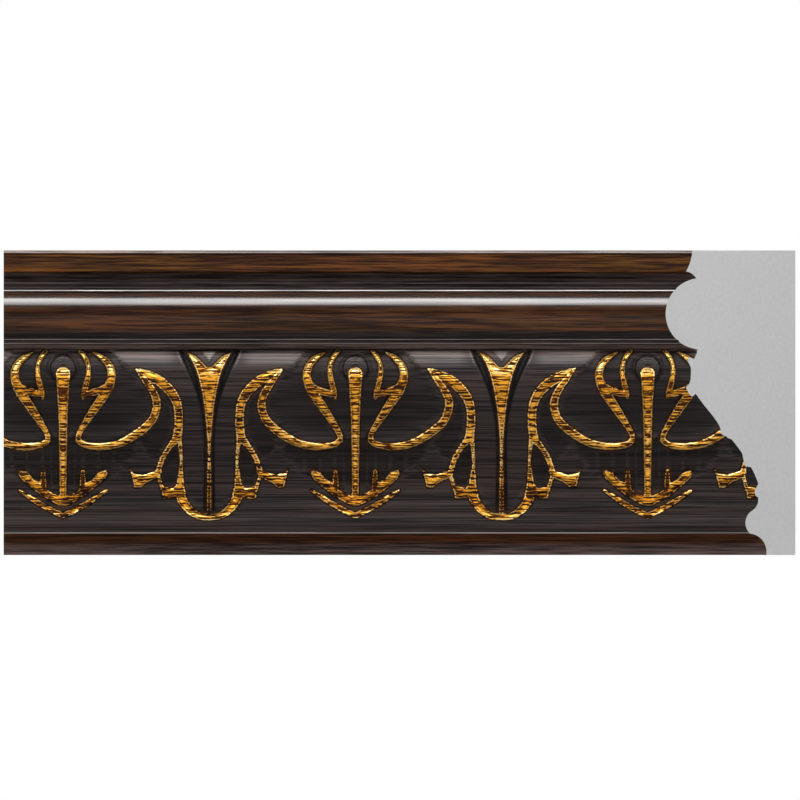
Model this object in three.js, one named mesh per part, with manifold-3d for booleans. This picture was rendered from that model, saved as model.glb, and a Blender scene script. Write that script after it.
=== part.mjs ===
// A length of ornamental wall moulding: a stack of rolls and hollows carrying a carved row of
// palmettes and darts. Its flat back lies in the plane y = 0 and its face looks along -y.
// X runs along the length, Z is up, and the origin is the middle of the back. Millimetres.
import * as THREE from 'three';
import { mergeVertices } from 'three/addons/utils/BufferGeometryUtils.js';
import Module from 'manifold-3d';

const wasm = await Module();
wasm.setup();

// The length of the back, and the angle at which the right-hand end is cut through the depth
const LENGTH = 260;
const MITRE_ANGLE = 45;

// Heights of the members, from the bottom edge upwards
const LIP_HEIGHT = 1.3;
const FOOT_COVE_HEIGHT = 5.7;
const BEAD_HEIGHT = 7.4;
const BEAD_COVE_HEIGHT = 3.6;
const CYMA_HEIGHT = 39.3;
const OVOLO_HEIGHT = 10.2;
const TORUS_HEIGHT = 23.3;
const TOP_COVE_HEIGHT = 2.3;
const CORNICE_HEIGHT = 6.9;

// Depths of the members, out from the back
const LIP_DEPTH = 9.5;
const FOOT_QUIRK_DEPTH = 14.9;
const BEAD_DEPTH = 16.4;
const BEAD_TOP_DEPTH = 14.5;
const CYMA_FOOT_DEPTH = 12.2;
const OVOLO_DEPTH = 35.7;
const OVOLO_NOTCH_DEPTH = 31.6;
const TORUS_DEPTH = 42.6;
const TORUS_NOTCH_DEPTH = 32.6;
const ARRIS_DEPTH = 35.9;
const TOP_DEPTH = 33.8;

// Hollowing of the coves and of the cornice face, measured off their chords
const FOOT_COVE_SINK = 1.5;
const BEAD_COVE_SINK = 0.6;
const TOP_COVE_SINK = 0.5;
const CORNICE_SINK = 0.4;

// How far the two ends of the cyma run straight before it bends over
const CYMA_FOOT_REACH = 15;
const CYMA_HEAD_REACH = 7.3;

// The fine grooves that set off the middle of the torus from its two shoulders
const QUIRK_WIDTH = 0.9;
const QUIRK_SINK = 0.5;
const LOWER_SHOULDER = 3;
const UPPER_SHOULDER = 3.9;

// The carving: palmette to palmette, the first one's place, and the heights of its levels
const PITCH = 96;
const FIRST_PALMETTE = 19.5;
const RIDGE_RELIEF = 0.9;
const HOLLOW_SINK = 1.2;
const GROOVE_SINK = 0.7;

// The field on which half a motif is drawn below, from the palmette's axis to the dart's, and
// from the crest of the bead to the notch under the torus
const DRAWN_WIDTH = 48;
const DRAWN_HEIGHT = 57;

// Solids that cut or fill reach this far past what they cut, neighbours overlap by LAP, and an
// outline leaves out the points that lie this close to a straight line
const MARGIN = 20;
const LAP = 0.3;
const FLATNESS = 0.05;

// Heights of the joins between members, worked out by stacking them
const coveFoot = LIP_HEIGHT;
const beadFoot = coveFoot + FOOT_COVE_HEIGHT;
const beadHead = beadFoot + BEAD_HEIGHT;
const cymaFoot = beadHead + BEAD_COVE_HEIGHT;
const ovoloCrest = cymaFoot + CYMA_HEIGHT;
const torusFoot = ovoloCrest + OVOLO_HEIGHT;
const torusHead = torusFoot + TORUS_HEIGHT;
const arris = torusHead + TOP_COVE_HEIGHT;
const faceHeight = arris + CORNICE_HEIGHT;
const beadCrest = (beadFoot + beadHead) / 2;
const greatestDepth = Math.max(TORUS_DEPTH, OVOLO_DEPTH + RIDGE_RELIEF, ARRIS_DEPTH);

const at = (depth, height) => new THREE.Vector2(depth, height);

// Points of the arc from one point up to another that rises by the given amount off its chord,
// outwards or, for a negative rise, inwards. The first point is left out.
function arc(from, to, rise, steps) {
  const chord = to.clone().sub(from);
  const half = chord.length() / 2;
  const radius = (half * half + rise * rise) / (2 * Math.abs(rise));
  const outward = at(chord.y, -chord.x).normalize();
  const middle = from.clone().add(to).multiplyScalar(0.5);
  const centre = middle.addScaledVector(outward, rise - Math.sign(rise) * radius);
  const turn = 2 * Math.atan2(half, radius - Math.abs(rise)) * Math.sign(rise);
  const points = [];
  for (let i = 1; i <= steps; i++) {
    points.push(from.clone().rotateAround(centre, (turn * i) / steps));
  }
  return points;
}

// The torus is one round; the two quirks are cut into it as small V grooves
function torusPoints() {
  const foot = at(OVOLO_NOTCH_DEPTH, torusFoot);
  const head = at(TORUS_NOTCH_DEPTH, torusHead);
  const rise = TORUS_DEPTH - (OVOLO_NOTCH_DEPTH + TORUS_NOTCH_DEPTH) / 2;
  const round = arc(foot, head, rise, 18);
  const quirks = [torusFoot + LOWER_SHOULDER, torusHead - UPPER_SHOULDER];
  const depthAt = (height) => {
    const next = round.findIndex((point) => point.y >= height);
    const above = round[next];
    const below = next > 0 ? round[next - 1] : foot;
    return THREE.MathUtils.mapLinear(height, below.y, above.y, below.x, above.x);
  };
  const clear = (point) => quirks.every((quirk) => Math.abs(point.y - quirk) > QUIRK_WIDTH);
  const grooves = quirks.flatMap((quirk) => [
    at(depthAt(quirk - QUIRK_WIDTH / 2), quirk - QUIRK_WIDTH / 2),
    at(depthAt(quirk) - QUIRK_SINK, quirk),
    at(depthAt(quirk + QUIRK_WIDTH / 2), quirk + QUIRK_WIDTH / 2),
  ]);
  return [...round.filter(clear), ...grooves].sort((one, other) => one.y - other.y);
}

// The carved band: the cyma up to the ovolo's crest, then the ovolo's quarter round
function bandPoints() {
  const cyma = new THREE.CubicBezierCurve(
    at(CYMA_FOOT_DEPTH, cymaFoot),
    at(CYMA_FOOT_DEPTH, cymaFoot + CYMA_FOOT_REACH),
    at(OVOLO_DEPTH, ovoloCrest - CYMA_HEAD_REACH),
    at(OVOLO_DEPTH, ovoloCrest),
  ).getPoints(9);
  const ovolo = [];
  const steps = 4;
  for (let i = 1; i <= steps; i++) {
    const turn = (Math.PI / 2) * (i / steps);
    const depth = OVOLO_NOTCH_DEPTH + (OVOLO_DEPTH - OVOLO_NOTCH_DEPTH) * Math.cos(turn);
    ovolo.push(at(depth, ovoloCrest + OVOLO_HEIGHT * Math.sin(turn)));
  }
  return [...cyma, ...ovolo];
}

// The whole section, anticlockwise from the bottom of the back
function sectionPoints() {
  const lip = at(LIP_DEPTH, coveFoot);
  const quirk = at(FOOT_QUIRK_DEPTH, beadFoot);
  const beadTop = at(BEAD_TOP_DEPTH, beadHead);
  const beadRise = BEAD_DEPTH - (FOOT_QUIRK_DEPTH + BEAD_TOP_DEPTH) / 2;
  return [
    at(0, 0),
    at(LIP_DEPTH, 0),
    lip,
    ...arc(lip, quirk, -FOOT_COVE_SINK, 5),
    ...arc(quirk, beadTop, beadRise, 6),
    ...arc(beadTop, at(CYMA_FOOT_DEPTH, cymaFoot), -BEAD_COVE_SINK, 3).slice(0, -1),
    ...bandPoints(),
    ...torusPoints(),
    ...arc(at(TORUS_NOTCH_DEPTH, torusHead), at(ARRIS_DEPTH, arris), -TOP_COVE_SINK, 3),
    ...arc(at(ARRIS_DEPTH, arris), at(TOP_DEPTH, faceHeight), -CORNICE_SINK, 4),
    at(0, faceHeight),
  ];
}

// The section of a solid that fills the carved band up to a level above or below its face.
// Its foot bridges the cove and rests on the crest of the bead.
function levelPoints(level) {
  const face = [at(BEAD_DEPTH, beadCrest), ...bandPoints()];
  const raised = face.map((point) => at(point.x + level, point.y));
  return [at(LIP_DEPTH / 2, beadCrest), ...raised, at(LIP_DEPTH / 2, torusFoot)];
}

function toManifold(geometry) {
  const bare = geometry.index ? geometry.toNonIndexed() : geometry.clone();
  bare.deleteAttribute('normal');
  bare.deleteAttribute('uv');
  const merged = mergeVertices(bare, 1e-5);
  const vertProperties = new Float32Array(merged.attributes.position.array);
  const triVerts = new Uint32Array(merged.index.array);
  return new wasm.Manifold(new wasm.Mesh({ numProp: 3, vertProperties, triVerts }));
}

function toGeometry(manifold) {
  const mesh = manifold.getMesh();
  const geometry = new THREE.BufferGeometry();
  geometry.setAttribute('position', new THREE.BufferAttribute(mesh.vertProperties, 3));
  geometry.setIndex(new THREE.BufferAttribute(mesh.triVerts, 1));
  geometry.computeVertexNormals();
  return geometry;
}

// A solid with the given section, (depth, height), along the whole length and a little past it
function prismAlong(points) {
  const length = LENGTH + MARGIN;
  const geometry = new THREE.ExtrudeGeometry(new THREE.Shape(points), {
    depth: length,
    bevelEnabled: false,
  });
  const axes = new THREE.Matrix4().makeBasis(
    new THREE.Vector3(0, -1, 0),
    new THREE.Vector3(0, 0, 1),
    new THREE.Vector3(-1, 0, 0),
  );
  geometry.applyMatrix4(axes);
  geometry.translate(LENGTH / 2 + MARGIN, 0, -faceHeight / 2);
  return toManifold(geometry);
}

// A solid with the given outline, (along, height), from inside the back out past the face
function prismAcross(points) {
  const geometry = new THREE.ExtrudeGeometry(new THREE.Shape(points), {
    depth: greatestDepth + MARGIN,
    bevelEnabled: false,
  });
  geometry.rotateX(Math.PI / 2);
  geometry.translate(0, -LIP_DEPTH / 2, -faceHeight / 2);
  return toManifold(geometry);
}

// Turns a point of the drawn field into a place on the moulding. The side is 1 to the right
// of the palmette's axis and -1 to the left of it.
function place(point, palmette, side) {
  const along = (point.x / DRAWN_WIDTH) * (PITCH / 2);
  const field = torusFoot - beadCrest;
  return at(palmette + side * along, beadCrest + (point.y / DRAWN_HEIGHT) * field);
}

// A smooth line through a few [across, height, width] nodes
function smooth(nodes, perSpan = 2, closed = false) {
  const through = nodes.map(([across, height, width = 0]) => new THREE.Vector3(across, height, width));
  const spans = closed ? nodes.length : nodes.length - 1;
  const points = new THREE.CatmullRomCurve3(through, closed).getPoints(spans * perSpan);
  return closed ? points.slice(0, -1) : points;
}

// Leaves out the points that the line through their neighbours nearly meets
function withoutFlatPoints(points) {
  const kept = [points[0]];
  let skipped = [];
  for (let i = 1; i < points.length - 1; i++) {
    skipped.push(points[i]);
    const chord = new THREE.Line3(
      new THREE.Vector3(kept.at(-1).x, kept.at(-1).y),
      new THREE.Vector3(points[i + 1].x, points[i + 1].y),
    );
    const offLine = skipped.some((point) => {
      const flat = new THREE.Vector3(point.x, point.y);
      return chord.closestPointToPoint(flat, true, new THREE.Vector3()).distanceTo(flat) > FLATNESS;
    });
    if (offLine) {
      kept.push(points[i]);
      skipped = [];
    }
  }
  return [...kept, points.at(-1)];
}

// The outline of a stroke that is as wide at each node as the node says
function strokeOutline(nodes) {
  const line = smooth(nodes);
  const edge = (side) => line.map((point, i) => {
    const before = line[Math.max(i - 1, 0)];
    const after = line[Math.min(i + 1, line.length - 1)];
    const along = at(after.x - before.x, after.y - before.y).normalize();
    const half = (side * Math.max(point.z, LAP)) / 2;
    return at(point.x - along.y * half, point.y + along.x * half);
  });
  return [...withoutFlatPoints(edge(1)), ...withoutFlatPoints(edge(-1).reverse())];
}

// The motif, drawn for half a pitch. Strokes are [across, height, width] nodes and outlines are
// [across, height] nodes; those near the dart are drawn from the dart's axis.
const axis = -LAP;

const fromDart = (nodes) => nodes.map(([inward, ...rest]) => [DRAWN_WIDTH - inward, ...rest]);

const outline = (nodes) => nodes.map(([across, height]) => at(across, height));

const bowlRim = [
  [4.9, 28.2, 1.3], [5.6, 26.4, 1.8], [8.2, 25.2, 1.9], [13.1, 24.9, 2.3], [18.7, 26, 2.4],
  [24.3, 29.1, 2.7], [29.1, 33.4, 2.6], [30.8, 38.4, 2.6], [29.7, 42.6, 2.4], [26.9, 46.7, 1.8],
  [24, 50.3, 0.5],
];

const ridgeStrokes = {
  innerCrescent: [
    [5.6, 56.3, 1.3], [7.1, 54.4, 1.5], [8.2, 51.8, 1.3], [8.3, 48.8, 1.6], [7.7, 45.6, 1.8],
    [6.8, 42.3, 1.6], [6.6, 40.8, 0.8],
  ],
  strut: [[6.9, 42, 1.6], [9.5, 42.6, 2.3], [11.8, 43.3, 2.3], [14.5, 44.4, 2.6]],
  outerCrescent: [
    [9.9, 55.9, 0.5], [13.1, 53.9, 1.8], [15.4, 51.1, 2.4], [15.9, 47.5, 2.7], [14.3, 43.3, 3.2],
    [10.8, 38, 2.9], [7.2, 32.5, 2.1], [5.3, 29.2, 1.7], [4.9, 26.9, 1.6],
  ],
  bowlRim,
  sideLeaf: [
    [23.9, 50.5, 0.4], [26.3, 49.5, 1.6], [28.9, 47.9, 3.1], [31.9, 46.2, 3.3], [34.8, 43.6, 3.2],
    [36.9, 40.5, 3], [37.9, 36.7, 2.7], [37.9, 31.1, 2.8], [37.1, 27.5, 2.6], [34.8, 24.6, 1.6],
    [32.8, 21.3, 1.6], [31.4, 17.4, 1.6],
  ],
  forkLine: [[37.9, 29.7, 2], [38.4, 25.8, 1.3], [38.8, 21.2, 0.9], [38.9, 17.2, 0.9]],
  link: [[31.2, 15.8, 1.1], [31.9, 13.3, 1.1], [32.7, 10.7, 1.2]],
  prong: [[6.4, 10, 1.6], [6.4, 16.6, 1.5]],
  lowerChevron: [
    [axis, 2, 1.5], [3.9, 4.1, 1.4], [7.9, 6.3, 1.4], [11.8, 8.9, 1.4], [15.2, 11.1, 0.9],
  ],
  tongueRim: fromDart([
    [9.9, 10.7, 2.5], [9.1, 7.9, 3.1], [7.3, 5.1, 2.8], [5.3, 3.2, 2.4], [3, 2.1, 2.1],
    [axis, 1.8, 2.1],
  ]),
};

const ridgeOutlines = {
  rib: outline([
    [axis, 7], [1.2, 7], [1.3, 18.9], [1.5, 27.1], [1.6, 36.3], [2.3, 46.2], [2.4, 49.2], [1.9, 50.2],
    [1.1, 50.7], [axis, 50.9],
  ]),
  upperChevron: outline([
    [axis, 5.5], [1.6, 5.7], [4.9, 7.5], [8.9, 10.2], [13.8, 14.3], [14.6, 15.9], [14.1, 17.2],
    [11.5, 16.4], [9.7, 14.1], [7.4, 13], [5.6, 10.8], [3.6, 9.7], [1.3, 8.7], [axis, 8.5],
  ]),
  upperFlame: outline([
    [22, 17.6], [23, 16.1], [26.3, 15.6], [30.2, 16.9], [31.9, 18.2], [32.5, 16.6], [31.4, 14.9],
    [27.6, 13.2], [25.5, 11.5], [23.5, 11.5],
  ]),
  lowerFlame: outline([
    [32.3, 12.6], [33.2, 11.8], [36.1, 11.2], [37.3, 12.5], [38.4, 19.2], [39.2, 19.2],
    [39.7, 12], [40.4, 9], [38.8, 7.4], [36.8, 8.4], [34.8, 7.9], [32.7, 8],
  ]),
  dart: [
    ...smooth(fromDart([[axis, 50.9], [0.7, 51], [1.9, 52.1], [4.5, 54.6], [7.3, 55.8]])),
    ...smooth(fromDart([
      [7.3, 55.8], [6, 53.8], [4.5, 50.8], [3.2, 46.8], [1.6, 38.3], [0.6, 27.8], [0.3, 22.2],
    ])).slice(1),
    at(DRAWN_WIDTH - axis, 22.2),
  ],
};

const grooveStrokes = {
  besideDart: fromDart([
    [10.1, 58, 0.8], [8.6, 55.4, 2], [6.6, 51.5, 2.5], [4.9, 47.2, 2.3], [3.4, 42.6, 1.8],
    [2.4, 38, 1.4], [1.4, 31.8, 1],
  ]),
  tongueMiddle: fromDart([[0, 22.3, 1.3], [0, 17.4, 2.3], [0, 3.9, 2.5]]),
};

const hollowOutlines = {
  palmette: [
    ...outline([[axis, 57], [17.2, 57], [20.4, 52.8]]),
    ...smooth([...bowlRim].reverse()),
    at(axis, 26.4),
  ],
  side: smooth([
    [29.9, 44.3], [32.8, 43.1], [35.5, 40], [36.6, 35.4], [36.3, 29.8], [33.8, 24.3],
    [31.2, 19.7], [27.6, 21.3], [24.3, 25.6], [26.9, 29.2], [30.5, 33.8], [31.9, 38.4],
  ], 1, true),
  fork: outline([
    [36.9, 25.9], [38.4, 23.3], [38.2, 17.5], [36.9, 11.6], [32.8, 11.6], [32.2, 16.7], [34.5, 22],
  ]),
};

const HOOD_HEIGHT = 50.5;
const HOOD_RADIUS = 4.1;
const hood = new THREE.Path().absarc(0, HOOD_HEIGHT, HOOD_RADIUS, 0, 2 * Math.PI).getPoints(8);

const union = (solids) => solids.reduce((sum, solid) => sum.add(solid));

// All copies of a drawn outline: one on each side of every palmette that the length reaches
function copies(drawn) {
  const first = FIRST_PALMETTE - Math.ceil((FIRST_PALMETTE + PITCH / 2) / PITCH) * PITCH;
  const solids = [];
  for (let palmette = first; palmette < LENGTH + PITCH / 2; palmette += PITCH) {
    for (const side of [-1, 1]) {
      const centre = palmette + side * (PITCH / 4);
      if (centre < -PITCH / 4 || centre > LENGTH + PITCH / 4) {
        continue;
      }
      const points = drawn.map((point) => place(point, palmette - LENGTH / 2, side));
      solids.push(prismAcross(points));
    }
  }
  return union(solids);
}

function makeMoulding() {
  const plain = prismAlong(sectionPoints());
  const fullDepth = prismAlong(levelPoints(0));
  const strokes = Object.values(ridgeStrokes).map(strokeOutline);
  const ridges = union([...strokes, ...Object.values(ridgeOutlines)].map(copies));
  const hollows = union(Object.values(hollowOutlines).map(copies));
  const grooves = union(Object.values(grooveStrokes).map(strokeOutline).map(copies));
  const hoods = copies(hood).intersect(fullDepth);

  const band = prismAlong(levelPoints(MARGIN));
  const sunk = hollows.intersect(band).subtract(prismAlong(levelPoints(-HOLLOW_SINK)));
  const grooved = grooves.intersect(band).subtract(prismAlong(levelPoints(-GROOVE_SINK)));
  const raised = ridges.intersect(prismAlong(levelPoints(RIDGE_RELIEF)));
  return plain.subtract(sunk).subtract(grooved).add(hoods).add(raised);
}

// What lies beyond the two ends: square at the left, and on the mitre at the right
function endWaste() {
  const back = MARGIN;
  const front = greatestDepth + MARGIN;
  const slope = Math.tan(THREE.MathUtils.degToRad(MITRE_ANGLE));
  const right = LENGTH / 2;
  const far = right + 2 * MARGIN + LENGTH;
  const outlines = [
    [at(right + back * slope, back), at(right - front * slope, -front), at(far, -front), at(far, back)],
    [at(-right, back), at(-far, back), at(-far, -front), at(-right, -front)],
  ];
  return union(outlines.map((points) => {
    const geometry = new THREE.ExtrudeGeometry(new THREE.Shape(points), {
      depth: faceHeight + 2 * MARGIN,
      bevelEnabled: false,
    });
    geometry.translate(0, 0, -faceHeight / 2 - MARGIN);
    return toManifold(geometry);
  }));
}

const lacquer = new THREE.MeshStandardMaterial({ color: 0x32231b, roughness: 0.4, metalness: 0 });
const moulding = new THREE.Mesh(toGeometry(makeMoulding().subtract(endWaste())), lacquer);
moulding.name = 'moulding';

const object = new THREE.Group();
object.add(moulding);

export default object;
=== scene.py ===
# A length of ornamental wall moulding in dark lacquer with wiped gilding: the whole moulding as one
# closed mesh with its carving, its finishes, and the studio it stands in.
import math

import bmesh
import bpy
import numpy as np
from bpy.props import FloatProperty, FloatVectorProperty, PointerProperty
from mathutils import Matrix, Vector


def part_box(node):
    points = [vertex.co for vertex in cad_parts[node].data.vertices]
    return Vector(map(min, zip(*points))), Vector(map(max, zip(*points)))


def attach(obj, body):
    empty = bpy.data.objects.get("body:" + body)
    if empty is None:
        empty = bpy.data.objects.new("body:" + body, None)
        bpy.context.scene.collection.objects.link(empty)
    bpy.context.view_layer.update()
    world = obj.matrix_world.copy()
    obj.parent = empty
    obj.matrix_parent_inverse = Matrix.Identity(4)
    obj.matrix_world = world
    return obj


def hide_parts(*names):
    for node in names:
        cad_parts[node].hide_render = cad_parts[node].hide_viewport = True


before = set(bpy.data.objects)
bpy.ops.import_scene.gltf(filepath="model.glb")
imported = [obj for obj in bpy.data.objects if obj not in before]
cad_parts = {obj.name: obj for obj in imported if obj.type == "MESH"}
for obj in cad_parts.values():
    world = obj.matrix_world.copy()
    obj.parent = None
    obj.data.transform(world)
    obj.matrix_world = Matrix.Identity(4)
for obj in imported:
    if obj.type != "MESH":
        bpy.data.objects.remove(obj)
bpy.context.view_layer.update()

bl_info = {
    "name": "Carved Wall Moulding",
    "version": (1, 0, 0),
    "blender": (4, 5, 0),
    "location": "View3D > Sidebar > Moulding",
    "description": "Builds a lacquered and gilded moulding with its carved band",
    "category": "Add Mesh",
}

NODE = "moulding"
MM = 0.001
BACK_LOW, BACK_HIGH = (Vector(corner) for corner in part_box(NODE))
LENGTH = (BACK_HIGH.x - BACK_LOW.x) / MM
FACE_HEIGHT = (BACK_HIGH.z - BACK_LOW.z) / MM

# Corners of the section in millimetres, as (depth out from the back, height above the bottom edge)
LIP = (9.5, 1.3)
FOOT_QUIRK = (14.9, 7.0)
BEAD_TOP = (14.5, 14.4)
CYMA_FOOT = (12.2, 18.0)
OVOLO_CREST = (35.7, 57.3)
BAND_TOP = (31.6, 67.5)
TORUS_TOP = (32.6, 90.8)
ARRIS = (35.9, 93.1)
TOP_EDGE = (33.8, FACE_HEIGHT)

# Depths of the crests of the bead and the torus, and how far each cove sinks off its chord
BEAD_DEPTH = 16.4
TORUS_DEPTH = 42.6
FOOT_COVE_SINK = 1.5
BEAD_COVE_SINK = 0.6
TOP_COVE_SINK = 0.5
CORNICE_SINK = 0.4

# How far the cyma runs on upright, up from its foot and down from the ovolo's crest
CYMA_FOOT_REACH = 15.0
CYMA_HEAD_REACH = 7.3

# Heights of the two fine quirks in the torus, and their size
LOWER_QUIRK = BAND_TOP[1] + 3.0
UPPER_QUIRK = TORUS_TOP[1] - 3.9
QUIRK_WIDTH = 0.9
QUIRK_SINK = 0.5

# Painted highlight lines on the arrises, each with a painted shadow below: (height, half width, strength)
ROLL_LINES = [
    (99.5, 0.3, 0.33), (89.3, 0.15, 0.06), (87.9, 0.13, 0.04), (86.85, 0.14, 1.0),
    (70.8, 0.14, 0.28), (69.5, 0.14, 0.2),
]
BAND_LINES = [(7.25, 0.22, 0.36)]
PAINTED_HIGHLIGHT_TONE = (0.74, 0.68, 0.66, 1.0)

# The field on which half a motif is drawn, up from the bead's crest, in millimetres
FIELD_FOOT = (FOOT_QUIRK[1] + BEAD_TOP[1]) / 2
FIELD_WIDTH = 48.0

# The mesh: millimetres between the band's columns, its rows, the points on its two long curves,
# the angle that counts as a sharp edge, and how near counts as touching, in metres
COLUMN_STEP = 0.4
BAND_ROWS = 166
CYMA_POINTS = 200
OVOLO_POINTS = 60
SHARP_ANGLE = math.radians(50)
NEAR = 1e-6

# The order of the materials on the piece
BAND_MATERIAL, ROLLS_MATERIAL, CORE_MATERIAL = 0, 1, 2

# Farther than any two places on the field, in millimetres
FAR = 1e3

# Strokes of the carving: (across from the palmette's axis, height on the field, width)
INNER_CRESCENT = [
    (5.6, 56.3, 1.3), (7.1, 54.4, 1.5), (8.2, 51.8, 1.3), (8.3, 48.8, 1.6), (7.7, 45.6, 1.8),
    (6.8, 42.3, 1.6), (6.6, 40.8, 0.8),
]
STRUT = [(6.9, 42, 1.6), (9.5, 42.6, 2.3), (11.8, 43.3, 2.3), (14.5, 44.4, 2.6)]
OUTER_CRESCENT = [
    (9.9, 55.9, 0.5), (13.1, 53.9, 1.8), (15.4, 51.1, 2.4), (15.9, 47.5, 2.7), (14.3, 43.3, 3.2),
    (10.8, 38, 2.9), (7.2, 32.5, 2.1), (5.3, 29.2, 1.7), (4.9, 26.9, 1.6),
]
BOWL_RIM = [
    (4.9, 28.2, 1.3), (5.6, 26.4, 1.8), (8.2, 25.2, 1.9), (13.1, 24.9, 2.3), (18.7, 26, 2.4),
    (24.3, 29.1, 2.7), (29.1, 33.4, 2.6), (30.8, 38.4, 2.6), (29.7, 42.6, 2.4), (26.9, 46.7, 1.8),
    (24, 50.3, 0.5),
]
SIDE_LEAF = [
    (23.9, 50.5, 0.4), (26.3, 49.5, 1.6), (28.9, 47.9, 3.1), (31.9, 46.2, 3.3), (34.8, 43.6, 3.2),
    (36.9, 40.5, 3), (37.9, 36.7, 2.7), (37.9, 31.1, 2.8), (37.1, 27.5, 2.6), (34.8, 24.6, 1.6),
    (32.8, 21.3, 1.6), (31.4, 17.4, 1.6),
]
FORK_LINE = [(37.9, 29.7, 2), (38.4, 25.8, 1.3), (38.8, 21.2, 0.9), (38.9, 17.2, 0.9)]
LINK = [(31.2, 15.8, 1.1), (31.9, 13.3, 1.1), (32.7, 10.7, 1.2)]
PRONG = [(6.5, 9.5, 2.2), (6.5, 13.5, 1.9), (6.5, 16.8, 1.3)]
LOWER_CHEVRON = [(-0.3, 2.1, 1.8), (3.9, 4.1, 1.7), (7.9, 6.3, 1.6), (11.4, 8.6, 1.3), (14.3, 10.5, 0.7)]
FOLDS = [
    [(3.8, 10.5, 1), (3.8, 24, 1)], [(6.7, 16, 1.6), (6.7, 24, 1.2)],
    [(11.5, 17, 1.6), (11.7, 24, 1.2)], [(16.5, 17, 2), (16.9, 24, 1.4)],
]

# Strokes drawn from the dart's axis
TONGUE_RIM = [
    (9.9, 10.7, 2.5), (9.1, 7.9, 3.1), (7.3, 5.1, 2.8), (5.3, 3.2, 2.4), (3, 2.1, 2.1),
    (-0.3, 1.8, 2.1),
]
UPPER_VEIN = [(0, 23, 0.8), (0, 14, 1.3)]
LOWER_VEIN = [(0, 14, 1.3), (0, 3.2, 1.4)]
DART_GROOVE = [
    (10.1, 58, 0.8), (8.6, 55.4, 2), (6.6, 51.5, 2.5), (4.9, 47.2, 2.3), (3.4, 42.6, 1.8),
    (2.4, 38, 1.4), (1.6, 31.8, 1), (1.3, 23, 0.9), (1.4, 4, 1),
]

# Outlines of the carving: (across, height)
RIB = [
    (-1, 7), (1.05, 7), (1.15, 18.9), (1.3, 27.1), (1.5, 36.3), (2.1, 46.2), (2.3, 49.2), (1.8, 50.2),
    (1.1, 50.7), (-1, 50.9),
]
UPPER_CHEVRON = [
    (-1, 5.5), (1.6, 5.7), (4.9, 7.5), (8.9, 10.2), (13.8, 14.3), (14.6, 15.9), (14.1, 17.2),
    (11.5, 16.4), (9.7, 14.1), (7.4, 13), (5.6, 10.8), (3.6, 9.7), (1.3, 8.7), (-1, 8.5),
]
UPPER_FLAME = [
    (22, 17.6), (23, 16.1), (26.3, 15.6), (30.2, 16.9), (31.9, 18.2), (32.5, 16.6), (31.4, 14.9),
    (27.6, 13.2), (25.5, 11.5), (23.5, 11.5),
]
LOWER_FLAME = [
    (32.3, 12.6), (33.2, 11.8), (36.1, 11.2), (37.3, 12.5), (38.4, 19.2), (39.2, 19.2), (39.7, 12),
    (40.4, 9), (38.8, 7.4), (36.8, 8.4), (34.8, 7.9), (32.7, 8),
]
LEAF_EDGE = [(-4, 26.4), (-4, 62), (13.5, 62), (18.1, 55.9), (21, 51.8), (24, 50.3)]
UNDER_SMILE = [(-6, 2), (-6, 31), (20, 31), (26, 29), (25, 22), (20, 16), (13, 11.5), (6, 7)]
SIDE_HOLLOW = [
    (29.9, 44.3), (32.8, 43.1), (35.5, 40), (36.6, 35.4), (36.3, 29.8), (33.8, 24.3), (31.2, 19.7),
    (27.6, 21.3), (24.3, 25.6), (26.9, 29.2), (30.5, 33.8), (31.9, 38.4),
]
FORK_HOLLOW = [
    (36.9, 25.9), (38.4, 23.3), (38.2, 17.5), (36.9, 11.6), (32.8, 11.6), (32.2, 16.7), (34.5, 22),
]

# Outlines drawn from the dart's axis
DART_HEAD = [(-1, 50.9), (0.7, 51), (1.9, 52.1), (4.5, 54.6), (7.3, 55.8)]
DART_SIDE = [
    (7.3, 55.8), (6, 53.8), (4.5, 50.8), (3.2, 46.8), (1.6, 38.3), (0.6, 27.8), (0.3, 22.2),
    (-1, 22.2),
]
FACET = [(2.6, 56.4), (-1, 56.4), (-1, 52.7), (0.2, 52.9)]
TONGUE_FLOOR = [(8.6, 16), (8.2, 10), (6.4, 6.6), (4.6, 4.6), (2.4, 3.3), (-1, 3), (-1, 16)]

# The hollows: their depth as a share of the hollows' depth, and the width of their dished edge
BOWL_SINK, BOWL_DISH = 1.1, 2.2
SIDE_SINK, SIDE_DISH, FORK_DISH = 0.8, 2.0, 1.0
SMILE_DISH = 4.0
TONGUE_SINK, TONGUE_DISH = 0.45, 2.5
FOLD_HEIGHT = 0.55

# The round hood behind the rib's head, on the palmette's axis, its arcs and the moat round it
HOOD_HEIGHT, HOOD_RADIUS, HOOD_CROWN = 50.5, 4.1, 0.1
ARC_STEP, ARC_COUNT, ARC_HEIGHT = 0.9, 3, 0.25
MOAT_WIDTH, MOAT_SINK = 1.6, 0.4

# The ridges: widths of the bevel and the crown, the bevel's share of the height, and how far the
# soft foot reaches to either side of the edge
BEVEL_WIDTH, CROWN_WIDTH, BEVEL_SHARE, RIDGE_FOOT = 0.4, 1.35, 0.45, 0.15

# The steepness of the V groove's sides, and how high the facet between the dart's horns rises
GROOVE_SLOPE = 1.6
FACET_HEIGHT = 0.9

# How strong the painted sheen is on the facet, the groove's lips, the leaves, the hood's arcs and the
# bowl's floor, and how strong the painted shade is in the groove and in the hood
FACET_SHEEN, LIP_SHEEN, LEAF_SHEEN, ARC_SHEEN, BOWL_SHEEN = 0.26, 0.2, 0.11, 0.075, 0.02
GROOVE_SHADE, HOOD_SHADE = 0.85, 0.6

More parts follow.
